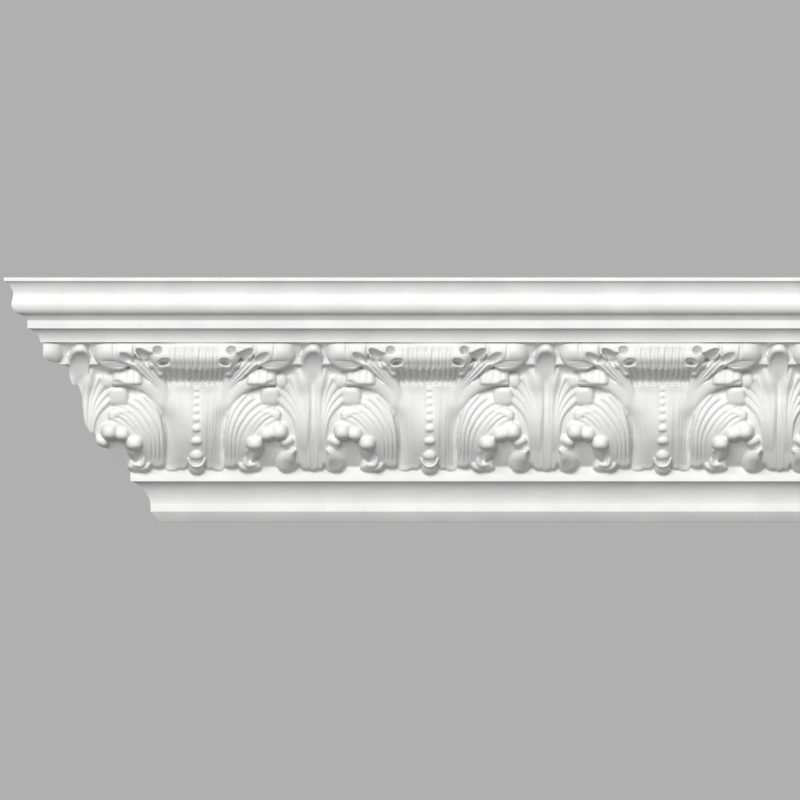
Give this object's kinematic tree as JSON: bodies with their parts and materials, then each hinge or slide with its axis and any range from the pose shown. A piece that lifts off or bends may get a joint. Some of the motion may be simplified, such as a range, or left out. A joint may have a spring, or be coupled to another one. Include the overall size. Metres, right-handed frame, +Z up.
{
  "type": "cornice moulding length",
  "caption": "Length of cornice moulding with an acanthus band, stepped and coved above and below; one end mitred, one cut square.",
  "frame": {"origin": "middle of the flat face that is fixed to the wall", "axes": "+X along the wall from the mitred end to the square end, +Y into the wall, +Z up to the ceiling; the carved face looks along -Y"},
  "size_m": [0.5574, 0.1156, 0.1712],
  "materials": {
    "white_casting": "smooth matt white primer on cast rigid polyurethane"
  },
  "bodies": {
    "root": {"cornice_moulding": "white_casting"}
  },
  "joints": []
}
